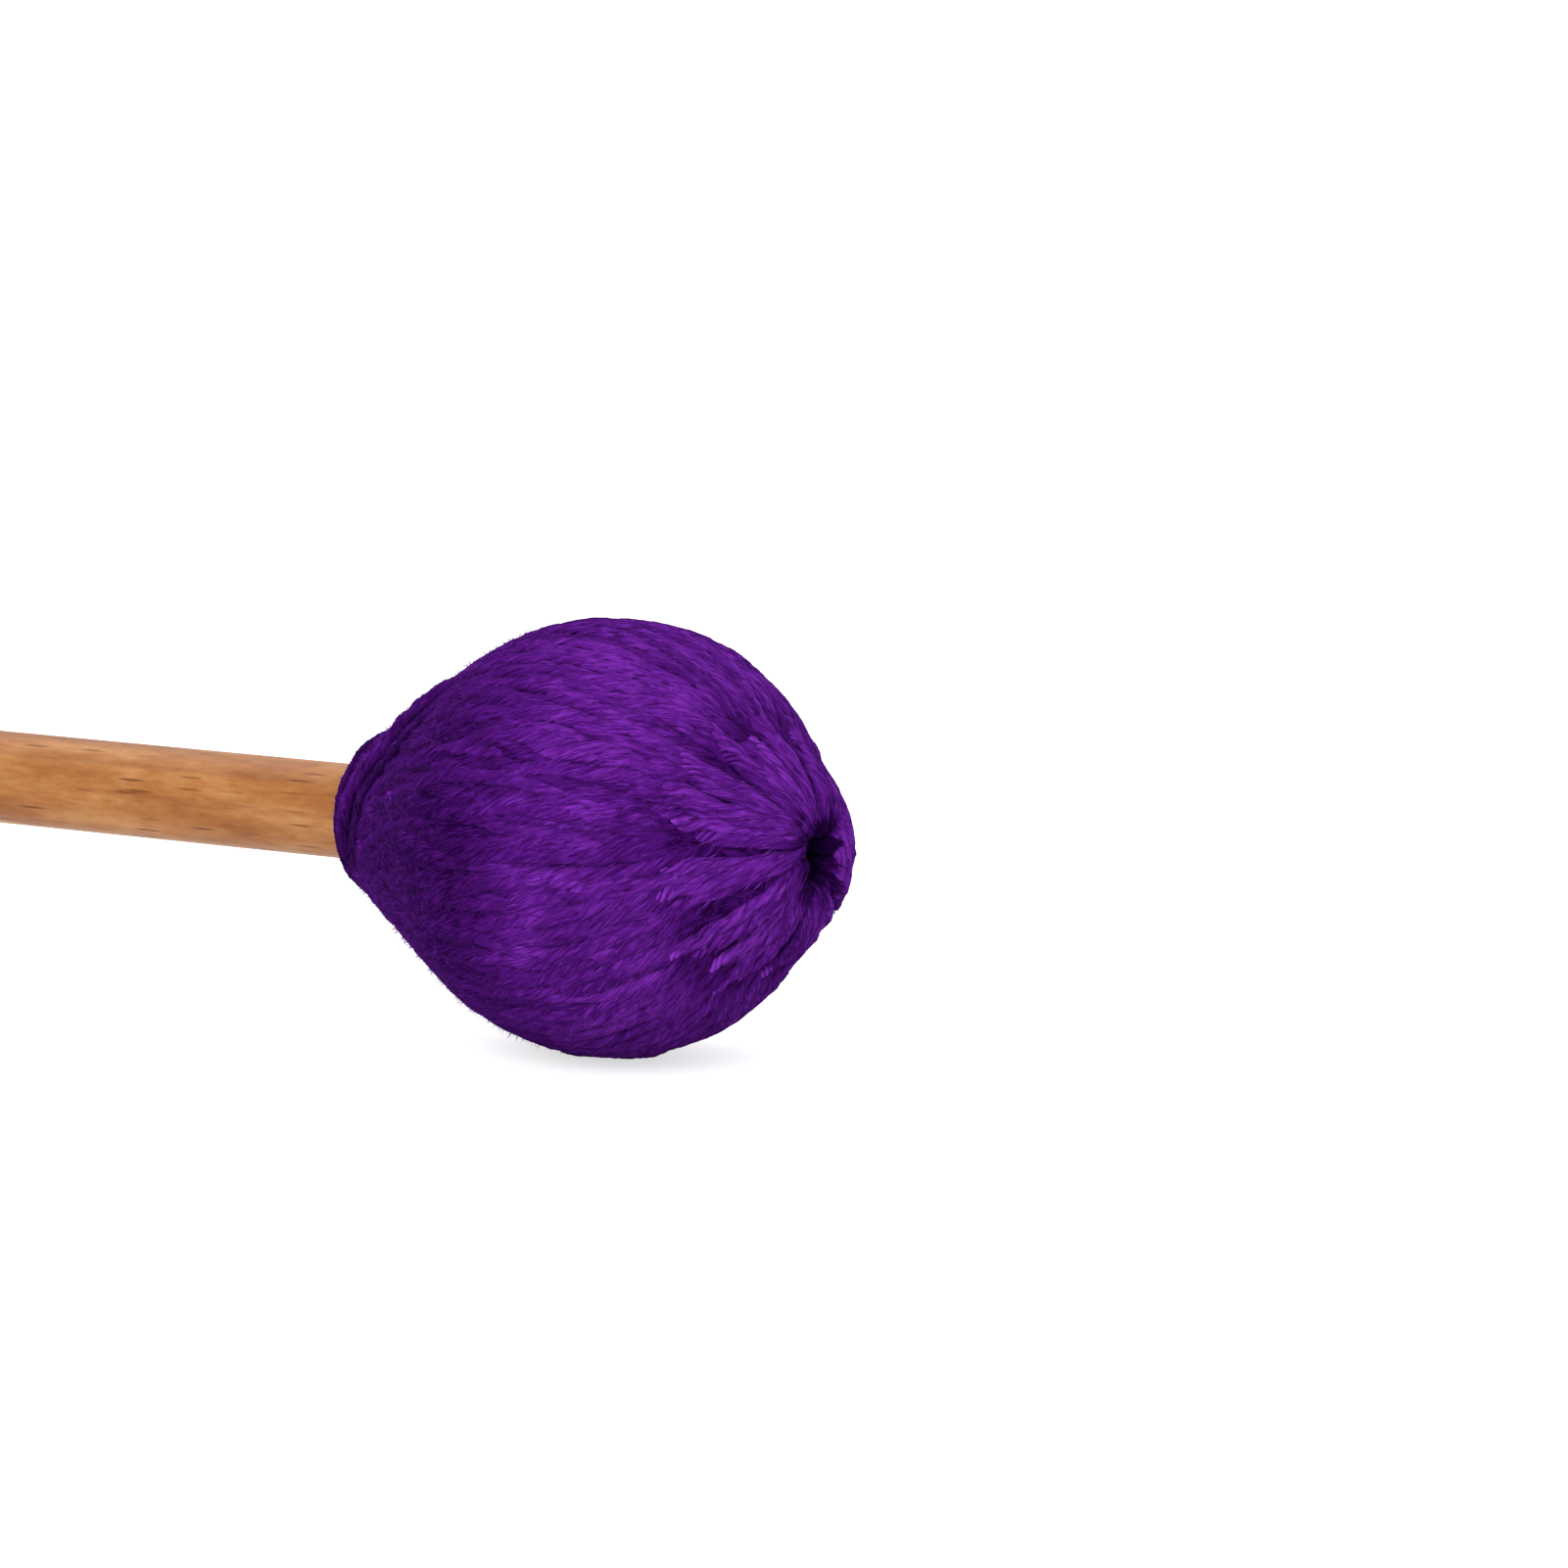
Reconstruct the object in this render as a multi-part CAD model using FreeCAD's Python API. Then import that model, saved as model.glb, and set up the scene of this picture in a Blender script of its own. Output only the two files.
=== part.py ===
import FreeCAD, Part
import math
import os

# A yarn-wound marimba mallet lying along X: butt of the handle at the origin, crown of the head
# towards +X. Millimetres. Every piece is turned or wound about the handle's axis.

# The whole mallet
overall_length = 420.0
handle_diameter = 8.0
head_diameter = 36.0

# The outline of the head over the yarn: on each side of the belly an arc, a straight flank
# tangent to it and a rounded end. Runs are measured along the axis from the belly.
crown_belly_arc = 17.55
crown_end_arc = 6.37
crown_end_run = 14.66
crown_end_height = 2.21
neck_belly_arc = 21.05
neck_end_arc = 5.3
neck_end_run = 20.72
neck_end_height = 2.55

# The handle
butt_chamfer = 0.9
tip_chamfer = 0.8

# The rubber core and the glue that holds it on the handle. The core's size follows from the
# depth of yarn over it, at the belly and over the edges of its ends.
belly_yarn_depth = 8.0
edge_yarn_depth = 1.6
core_front_wall = 6.0
glue_thickness = 0.3
glue_clearance = 0.05

# The yarn: a soft cord drawn with four flat sides, of the same area as a round one
yarn_diameter = 1.4
yarn_width_share = math.sqrt(math.pi) / 2
yarn_bend = 1.4
yarn_gap = 0.5
yarn_seat = 0.2

# The outer winding: how many loops, and how deep it dips at the ends to pass under the stitches
winding_loops = 10
winding_dip = 2.6

# The crown stitches run from a hole in the middle out over the bends of the loops
crown_hole_diameter = 4.2
crown_hole_drop = 3.0
crown_hole_bevel = 0.9
crown_stitch_reach = 11.2
stitch_dive = math.radians(45)

# The neck: stitches over the loops there, and turns of yarn round the handle
neck_stitch_start = 7.6
neck_stitch_reach = 11.6
lashing_turns = 1.5
neck_clearance = 0.3

handle_radius = handle_diameter / 2
head_radius = head_diameter / 2
core_radius = head_radius - belly_yarn_depth
yarn_width = yarn_diameter * yarn_width_share
crown_reach = crown_end_run + crown_end_arc
belly_x = overall_length - crown_reach

axis = FreeCAD.Vector(1, 0, 0)
origin = FreeCAD.Vector(0, 0, 0)
slope_share = 1e-4


def place(x, radius, angle=0.0):
    """A point by its place along the axis, its distance from it and its angle round it."""
    return FreeCAD.Vector(x, radius * math.cos(angle), radius * math.sin(angle))


class Half:
    """One half of a lemon outline, from the belly to an end. It lies at a depth under the head's
    outline, and dips further in on its way from the belly, which keeps its place, to the end."""

    def __init__(self, way, belly_arc, end_arc, end_run, end_height, depth, dip):
        self.way = way
        self.belly_arc = belly_arc - dip - depth
        self.belly_height = head_radius - belly_arc + dip
        self.end_arc = end_arc - dip - depth
        self.end_run = end_run
        self.end_height = end_height
        rise = end_height - self.belly_height
        lean = math.acos((self.belly_arc - self.end_arc) / math.hypot(end_run, rise))
        self.angle = math.atan2(rise, end_run) + lean
        self.arc_length = (math.pi / 2 - self.angle) * self.belly_arc

    def on_belly(self, angle):
        x = belly_x + self.way * self.belly_arc * math.cos(angle)
        return x, self.belly_height + self.belly_arc * math.sin(angle)

    def on_end(self, angle):
        x = belly_x + self.way * (self.end_run + self.end_arc * math.cos(angle))
        return x, self.end_height + self.end_arc * math.sin(angle)

    def at(self, distance):
        """The point at a distance from the belly, on the arc or on the flank."""
        if distance <= self.arc_length:
            return self.on_belly(math.pi / 2 - distance / self.belly_arc)
        x, radius = self.on_belly(self.angle)
        over = distance - self.arc_length
        return x + self.way * over * math.sin(self.angle), radius - over * math.cos(self.angle)

    def distance_to(self, radius):
        """The distance from the belly at which the outline has come down to a radius."""
        flank_radius = self.on_belly(self.angle)[1]
        if radius < flank_radius:
            return self.arc_length + (flank_radius - radius) / math.cos(self.angle)
        sine = (radius - self.belly_height) / self.belly_arc
        return (math.pi / 2 - math.asin(sine)) * self.belly_arc

    def end_angle(self, radius):
        """The angle on the rounded end at which the outline has a radius."""
        return math.asin((radius - self.end_height) / self.end_arc)


def crown_half(depth, dip=0):
    return Half(1, crown_belly_arc, crown_end_arc, crown_end_run, crown_end_height, depth, dip)


def neck_half(depth, dip=0):
    return Half(-1, neck_belly_arc, neck_end_arc, neck_end_run, neck_end_height, depth, dip)


def arc_edge(start, middle, end):
    """An arc through three places, each given as its run, its radius and perhaps its angle."""
    return Part.Arc(place(*start), place(*middle), place(*end)).toShape()


def line_edge(start, end):
    return Part.LineSegment(place(*start), place(*end)).toShape()


def turned(edges):
    """A solid turned about the handle's axis from a closed outline."""
    solid = Part.Face(Part.Wire(edges)).revolve(origin, axis, 360)
    return solid if solid.Volume > 0 else solid.reversed()


def turned_through(points):
    return turned([line_edge(a, b) for a, b in zip(points, points[1:] + points[:1])])


def biarc_joint(start, start_way, end, end_way):
    """Where the two arcs meet that join two points with given directions."""
    chord = end - start
    ways = start_way + end_way
    bend = 2 * (1 - start_way.dot(end_way))
    if bend < slope_share * slope_share:
        reach = chord.dot(chord) / (4 * chord.dot(end_way))
    else:
        along = chord.dot(ways)
        reach = (math.sqrt(along * along + bend * chord.dot(chord)) - along) / bend
    return (start + end + (start_way - end_way) * reach) * 0.5


def arc_from(start, way, end):
    """The arc that leaves a point in a direction and ends at another point, and its radius."""
    chord = end - start
    side = way - chord * (way.dot(chord) / chord.dot(chord))
    if side.Length < slope_share:
        return Part.LineSegment(start, end).toShape(), math.inf
    half_turn = math.atan2(side.Length, way.dot(chord) / chord.Length)
    side.normalize()
    middle = start + chord * 0.5 + side * (chord.Length / 2 * math.tan(half_turn / 2))
    return Part.Arc(start, middle, end).toShape(), chord.Length / 2 / math.sin(half_turn)


def route_through(nodes):
    """A smooth route of arcs through points with directions, and its smallest radius."""
    edges, radii = [], []
    for (start, start_way), (end, end_way) in zip(nodes, nodes[1:]):
        joint = biarc_joint(start, start_way, end, end_way)
        first, first_radius = arc_from(start, start_way, joint)
        middle_way = first.tangentAt(first.LastParameter)
        second, second_radius = arc_from(joint, middle_way, end)
        edges += [first, second]
        radii += [first_radius, second_radius]
    return Part.Wire(edges), min(radii)


def yarn_along(route, start, way, outward):
    """A four-sided cord swept along a route, its sides square to the surface it lies on."""
    across = way.cross(outward)
    across.normalize()
    up = across.cross(way)
    half = yarn_width / 2
    corners = [start + across * (half * a) + up * (half * b) for a, b in ((1, 1), (-1, 1), (-1, -1), (1, -1))]
    section = Part.makePolygon(corners + corners[:1])
    return route.makePipeShell([section], True, False)


def least_gap(route, spacing, skip):
    """The least clear distance between stretches of one cord that are not next to each other."""
    points = route.discretize(Distance=spacing)
    apart = int(skip / spacing)
    least = math.inf
    for i, point in enumerate(points):
        for other in points[i + apart:]:
            least = min(least, point.distanceToPoint(other))
    return least - yarn_width


# The lay of the pile under the outer winding, and the core inside it. The pile has one flat
# between every two runs of the winding, so that each run lies along an edge of the pile.

pitch_angle = 2 * math.pi / winding_loops
pile_sides = 2 * winding_loops
seat_depth = yarn_diameter + yarn_seat
edge_radius = (core_radius + edge_yarn_depth) / math.cos(math.pi / pile_sides)


def core_end(pile):
    """Where the pile has come down so far that the core's edge has its depth of yarn."""
    return pile.at(pile.distance_to(edge_radius))[0]


core_front = core_end(crown_half(seat_depth, winding_dip))
core_back = core_end(neck_half(seat_depth, winding_dip))
bore_end = core_front - core_front_wall


# The handle: a plain dowel, its edges broken at the butt and at the end inside the core

tip_x = bore_end - glue_thickness - 2 * glue_clearance


def make_handle():
    return turned_through([
        (0, 0),
        (0, handle_radius - butt_chamfer),
        (butt_chamfer, handle_radius),
        (tip_x - tip_chamfer, handle_radius),
        (tip_x, handle_radius - tip_chamfer),
        (tip_x, 0),
    ])


# The core: a rubber cylinder with a blind bore, and the film of glue in it

bore_radius = handle_radius + glue_thickness + 2 * glue_clearance


def make_core():
    return turned_through([
        (core_back, bore_radius),
        (core_back, core_radius),
        (core_front, core_radius),
        (core_front, 0),
        (bore_end, 0),
        (bore_end, bore_radius),
    ])


def make_glue():
    inner = handle_radius + glue_clearance
    outer = inner + glue_thickness
    inner_end = tip_x + glue_clearance
    return turned_through([
        (core_back, inner),
        (core_back, outer),
        (inner_end + glue_thickness, outer),
        (inner_end + glue_thickness, 0),
        (inner_end, 0),
        (inner_end, inner),
    ])


# The under-winding: the pile of yarn round the core, with the hole at its crown

neck_arc_bands = 3
crown_arc_bands = 3


def bend_places(half):
    """Where a run meets the bend at its end, and the middle of that bend, for a bend at angle zero."""
    half_angle = pitch_angle / 4
    lean = math.asin(math.cos(half.angle) * math.sin(half_angle))
    meet_radius = yarn_bend * math.cos(lean) / math.sin(half_angle)
    meet_x = half.at(half.distance_to(meet_radius))[0]
    forward = FreeCAD.Vector(
        half.way * math.sin(half.angle),
        -math.cos(half.angle) * math.cos(half_angle),
        0,
    )
    forward.normalize()
    middle = place(meet_x, meet_radius * math.cos(half_angle)) + forward * (yarn_bend * (1 - math.sin(lean)))
    return (meet_x, meet_radius), (middle.x, middle.y)


def ring_at(x, radius):
    """The corners of a ring of straight sides round the axis."""
    return [place(x, radius, 2 * math.pi * (side + 0.5) / pile_sides) for side in range(pile_sides)]


def flat(corners):
    return Part.Face(Part.makePolygon(corners + corners[:1]))


def stack_of_rings(outline):
    """A solid with flat sides between rings, closed at both ends."""
    rings = [ring_at(*point) for point in outline]
    faces = [flat(rings[0]), flat(rings[-1])]
    for low, high in zip(rings, rings[1:]):
        for side in range(pile_sides):
            after = (side + 1) % pile_sides
            faces.append(flat([low[side], low[after], high[after], high[side]]))
    solid = Part.Solid(Part.makeShell(faces))
    return solid if solid.Volume > 0 else solid.reversed()


def pile_half(make_half, inner_radius, bands):
    """Half of the pile's outline from the belly out: the arc and flank that the winding lies on,
    down to the groove for its bends, and then the end of the pile under the stitches."""
    sunk = make_half(seat_depth, winding_dip)
    end = make_half(seat_depth)
    groove_radius = bend_places(make_half(yarn_diameter / 2, winding_dip))[1][1] - seat_depth
    rise = (math.pi / 2 - sunk.angle) / bands
    outline = [sunk.on_belly(math.pi / 2 - rise * band) for band in range(bands + 1)]
    outline += [half.at(half.distance_to(groove_radius)) for half in (sunk, end)]
    last_angle = end.end_angle(inner_radius)
    outline += [end.on_end(angle) for angle in (end.angle, (end.angle + last_angle) / 2, last_angle)]
    return outline


def make_under_winding():
    hole_radius = crown_hole_diameter / 2 + yarn_diameter + yarn_seat
    sleeve_radius = handle_radius + neck_clearance
    neck_outline = pile_half(neck_half, sleeve_radius + yarn_seat, neck_arc_bands)
    crown_outline = pile_half(crown_half, hole_radius + crown_hole_bevel, crown_arc_bands)
    outline = neck_outline[::-1] + crown_outline[1:]
    inside = turned_through([
        (0, 0),
        (0, sleeve_radius),
        (core_back - neck_clearance, sleeve_radius),
        (core_back - neck_clearance, core_radius + neck_clearance),
        (core_front + neck_clearance, core_radius + neck_clearance),
        (core_front + neck_clearance, hole_radius),
        (overall_length, hole_radius),
        (overall_length, 0),
    ])
    return stack_of_rings(outline).cut(inside)


# The outer winding: one cord that runs from the neck to the crown and back, loop after loop

def run_edges(half, angle, meet):
    """A straight flank and a belly arc, from the bend to the belly."""
    shoulder = half.on_belly(half.angle)
    middle = half.on_belly((half.angle + math.pi / 2) / 2)
    belly = half.on_belly(math.pi / 2)
    flank = Part.LineSegment(place(*meet, angle), place(*shoulder, angle)).toShape()
    return [flank, arc_edge((*shoulder, angle), (*middle, angle), (*belly, angle))]


def make_outer_winding():
    crown = crown_half(yarn_diameter / 2, winding_dip)
    neck = neck_half(yarn_diameter / 2, winding_dip)
    crown_meet, crown_middle = bend_places(crown)
    neck_meet, neck_middle = bend_places(neck)
    edges = []
    for run in range(2 * winding_loops):
        angle = (run - 0.5) * pitch_angle / 2
        after = angle + pitch_angle / 2
        up = run % 2 == 0
        meet, middle = (crown_meet, crown_middle) if up else (neck_meet, neck_middle)
        run_both = run_edges(neck, angle, neck_meet) + run_edges(crown, angle, crown_meet)[::-1]
        edges += run_both if up else run_both[::-1]
        if run < 2 * winding_loops - 1:
            edges.append(arc_edge((*meet, angle), (*middle, (angle + after) / 2), (*meet, after)))
    route = Part.Wire(edges)
    first = -0.5 * pitch_angle / 2
    start = place(*neck_meet, first)
    way = place(math.sin(neck.angle), math.cos(neck.angle), first)
    gap = least_gap(route, yarn_gap, 4 * yarn_diameter)
    print("outer winding: least gap %.2f, length %.0f" % (gap, route.Length))
    return yarn_along(route, start, way, place(0, 1, first))


# The stitches: one over each bend of the winding, with its outer end pulled in between the runs

def dive_edge(half, radius, angle):
    """The turn with which a stitch that runs out along a flank goes down into the pile."""
    x, radius = half.at(half.distance_to(radius))

    def turn(share):
        lean = half.angle + stitch_dive * share
        along = half.way * (math.cos(lean) - math.cos(half.angle))
        return x + along * yarn_bend, radius + (math.sin(lean) - math.sin(half.angle)) * yarn_bend, angle

    return arc_edge(turn(0), turn(0.5), turn(1))


def make_crown_stitches():
    cover = crown_half(yarn_diameter / 2)
    hole_radius = (crown_hole_diameter + yarn_diameter) / 2
    rim_radius = hole_radius + yarn_bend
    rim_reach = cover.end_arc - yarn_bend
    rim_lean = math.asin((rim_radius - cover.end_height) / rim_reach)
    rim_x = belly_x + cover.end_run + rim_reach * math.cos(rim_lean)
    rim_middle = (rim_lean - math.pi / 2) / 2
    stitches = []
    for loop in range(winding_loops):
        angle = loop * pitch_angle
        bottom = (rim_x - crown_hole_drop, hole_radius, angle)
        top = (rim_x, hole_radius, angle)
        middle = (
            rim_x + yarn_bend * math.cos(rim_middle),
            rim_radius + yarn_bend * math.sin(rim_middle),
            angle,
        )
        rim = (*cover.on_end(rim_lean), angle)
        end_middle = (*cover.on_end((rim_lean + cover.angle) / 2), angle)
        end = (*cover.on_end(cover.angle), angle)
        reach = (*cover.at(cover.distance_to(crown_stitch_reach)), angle)
        route = Part.Wire([
            line_edge(bottom, top),
            arc_edge(top, middle, rim),
            arc_edge(rim, end_middle, end),
            line_edge(end, reach),
            dive_edge(cover, crown_stitch_reach, angle),
        ])
        stitches.append(yarn_along(route, place(*bottom), axis, place(0, 1, angle)))
    return Part.Compound(stitches)


def make_neck_stitches():
    cover = neck_half(yarn_diameter / 2)
    stitches = []
    for loop in range(winding_loops):
        angle = (loop + 0.5) * pitch_angle
        start = (*cover.at(cover.distance_to(neck_stitch_start)), angle)
        reach = (*cover.at(cover.distance_to(neck_stitch_reach)), angle)
        route = Part.Wire([line_edge(start, reach), dive_edge(cover, neck_stitch_reach, angle)])
        way = place(math.sin(cover.angle), math.cos(cover.angle), angle)
        stitches.append(yarn_along(route, place(*start), way, place(0, 1, angle)))
    return Part.Compound(stitches)


# The neck lashing: the finishing turns round the handle, climbing the rounded end of the neck

def make_neck_lashing():
    half = neck_half(yarn_diameter / 2)
    low = half.end_angle(handle_radius + neck_clearance + yarn_width / math.sqrt(2))
    high = low + lashing_turns * (yarn_width + yarn_gap) / half.end_arc
    steps = math.ceil(lashing_turns * 4)

    def point(share):
        x, radius = half.on_end(low + (high - low) * share)
        return place(x, radius, 2 * math.pi * lashing_turns * share)

    nodes = []
    for step in range(steps + 1):
        share = step / steps
        way = point(share + slope_share) - point(share - slope_share)
        way.normalize()
        nodes.append((point(share), way))
    route, tightest = route_through(nodes)
    gap = least_gap(route, yarn_gap, 4 * yarn_diameter)
    print("neck lashing: least gap %.2f, tightest bend %.2f, length %.0f" % (gap, tightest, route.Length))
    lean = (low + high) / 2
    return yarn_along(route, *nodes[0], place(-math.cos(lean), math.sin(lean)))


pieces = {
    "handle": make_handle(),
    "core_glue": make_glue(),
    "core": make_core(),
    "under_winding": make_under_winding(),
    "outer_winding": make_outer_winding(),
    "crown_stitches": make_crown_stitches(),
    "neck_stitches": make_neck_stitches(),
    "neck_lashing": make_neck_lashing(),
}

os.makedirs("parts", exist_ok=True)
for name, shape in pieces.items():
    shape.exportStep("parts/" + name + ".step")
    print("%s: %d solids, valid %s, volume %.1f" % (name, len(shape.Solids), shape.isValid(), shape.Volume))
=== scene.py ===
import math

import bpy
import numpy as np
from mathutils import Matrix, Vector


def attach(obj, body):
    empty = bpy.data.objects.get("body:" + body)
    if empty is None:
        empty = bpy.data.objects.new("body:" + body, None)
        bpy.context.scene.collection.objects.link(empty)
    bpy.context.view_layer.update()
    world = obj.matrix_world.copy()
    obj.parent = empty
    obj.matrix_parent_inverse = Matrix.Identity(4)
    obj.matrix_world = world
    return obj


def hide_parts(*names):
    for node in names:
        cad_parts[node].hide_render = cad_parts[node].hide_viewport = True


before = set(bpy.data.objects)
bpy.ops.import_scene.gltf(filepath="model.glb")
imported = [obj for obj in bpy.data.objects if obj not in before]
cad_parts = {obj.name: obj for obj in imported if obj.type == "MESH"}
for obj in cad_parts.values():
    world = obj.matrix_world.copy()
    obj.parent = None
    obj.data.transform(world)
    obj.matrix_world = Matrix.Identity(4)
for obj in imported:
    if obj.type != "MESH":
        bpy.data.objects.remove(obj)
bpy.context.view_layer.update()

# One row of random draws serves the whole mallet, so their order sets where every strand lies
random = np.random.default_rng(7)

# Sizes of the mallet in millimetres, as in its source
BELLY_X = 398.97
HEAD_RADIUS = 18.0
HANDLE_RADIUS = 4.0
TIP_X = 402.7
CROWN_BELLY_ARC, CROWN_END_ARC, CROWN_END_RUN, CROWN_END_HEIGHT = 17.55, 6.37, 14.66, 2.21
NECK_BELLY_ARC, NECK_END_ARC, NECK_END_RUN, NECK_END_HEIGHT = 21.05, 5.3, 20.72, 2.55

BELLY = Vector((BELLY_X / 1000, 0, 0))


# The camera comes first. The head shows left of the middle, and the handle leaves on the left

def new_object(name, data):
    """An object, put in the scene."""
    made = bpy.data.objects.new(name, data)
    bpy.context.scene.collection.objects.link(made)
    return made


def point_at(thing, target):
    """Turns a camera or a light towards a place."""
    thing.rotation_mode = "QUATERNION"
    thing.rotation_quaternion = (target - thing.location).to_track_quat("-Z", "Y")


def make_camera():
    """Looks at the belly, which shows where it does in the photograph and at the same size."""
    picture, sensor = 1601, 36
    seen_x, seen_y = 629.3, 855.1
    pixels_in_a_metre = 12500.0
    distance = 0.6
    azimuth, elevation = math.radians(37.85), math.radians(7.6)
    back = Vector((
        math.sin(azimuth) * math.cos(elevation),
        -math.cos(azimuth) * math.cos(elevation),
        math.sin(elevation),
    ))
    right = Vector((math.cos(azimuth), math.sin(azimuth), 0))
    up = back.cross(right)
    data = bpy.data.cameras.new("camera")
    data.sensor_width = sensor
    data.lens = pixels_in_a_metre * distance / picture * sensor
    data.clip_start, data.clip_end = 0.05, 20
    camera = new_object("camera", data)
    bpy.context.scene.camera = camera
    camera.location = BELLY + back * distance
    beside = (picture / 2 - seen_x) / pixels_in_a_metre
    above = (seen_y - picture / 2) / pixels_in_a_metre
    point_at(camera, BELLY + right * beside + up * above)


make_camera()


# The head's outline, from the rim of the crown's hole over the belly to the neck

ARC_POINTS = 60
HALF_POINTS = 2 * ARC_POINTS


def half_outline(way, belly_arc, end_arc, end_run, end_height, last_angle):
    """Points along one half, from the belly out, with their outward normals."""
    height = HEAD_RADIUS - belly_arc
    rise = end_height - height
    lean = math.atan2(rise, end_run) + math.acos((belly_arc - end_arc) / math.hypot(end_run, rise))
    arcs = (
        (math.pi / 2, lean, belly_arc, 0, height),
        (lean, last_angle, end_arc, end_run, end_height),
    )
    places, normals = [], []
    for first, last, radius, centre_run, centre_height in arcs:
        for angle in np.linspace(first, last, ARC_POINTS):
            along, out = math.cos(angle), math.sin(angle)
            places.append((BELLY_X + way * (centre_run + radius * along), centre_height + radius * out))
            normals.append((way * along, out))
    return np.array(places), np.array(normals)


crown_places, crown_normals = half_outline(
    1, CROWN_BELLY_ARC, CROWN_END_ARC, CROWN_END_RUN, CROWN_END_HEIGHT, 0)
neck_last = math.asin((HANDLE_RADIUS + 0.2 - NECK_END_HEIGHT) / NECK_END_ARC)
neck_places, neck_normals = half_outline(
    -1, NECK_BELLY_ARC, NECK_END_ARC, NECK_END_RUN, NECK_END_HEIGHT, neck_last)
OUTLINE = np.vstack([crown_places[::-1], neck_places[1:]])
OUTLINE_NORMALS = np.vstack([crown_normals[::-1], neck_normals[1:]])
OUTLINE_RUN = np.concatenate([[0], np.cumsum(np.hypot(*np.diff(OUTLINE, axis=0).T))])
BELLY_RUN = OUTLINE_RUN[HALF_POINTS - 1]
FULL_RUN = OUTLINE_RUN[-1]


def radius_at(run):
    """The outline's radius at a run along it from the crown."""
    return np.interp(run, OUTLINE_RUN, OUTLINE[:, 1])


def run_at(radius, crown):
    """The run at which one end of the outline has a radius."""
    if crown:
        return float(np.interp(radius, OUTLINE[:HALF_POINTS, 1], OUTLINE_RUN[:HALF_POINTS]))
    return float(np.interp(-radius, -OUTLINE[-HALF_POINTS:, 1], OUTLINE_RUN[-HALF_POINTS:]))


def on_head(run, angle, depth):
    """Points under the head's outline, and the outward normals there, from the run along the
    outline from the crown, the angle round the axis and the depth."""
    normal_x = np.interp(run, OUTLINE_RUN, OUTLINE_NORMALS[:, 0])
    normal_radius = np.interp(run, OUTLINE_RUN, OUTLINE_NORMALS[:, 1])
    x = np.interp(run, OUTLINE_RUN, OUTLINE[:, 0]) - normal_x * depth
    radius = radius_at(run) - normal_radius * depth
    around = np.stack([np.zeros_like(angle), np.cos(angle), np.sin(angle)], -1)
    place = around * radius[..., None]
    place[..., 0] += x
    normal = around * normal_radius[..., None]
    normal[..., 0] += normal_x
    return place, normal


def rising(value, start, length):
    """0 up to the start, 1 from a length beyond it."""
    return np.clip((value - start) / length, 0, 1)


def falling(value, end, length):
    """1 up to a length before the end, 0 from the end on."""
    return np.clip((end - value) / length, 0, 1)


# Node trees, for shapes and for materials

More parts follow.
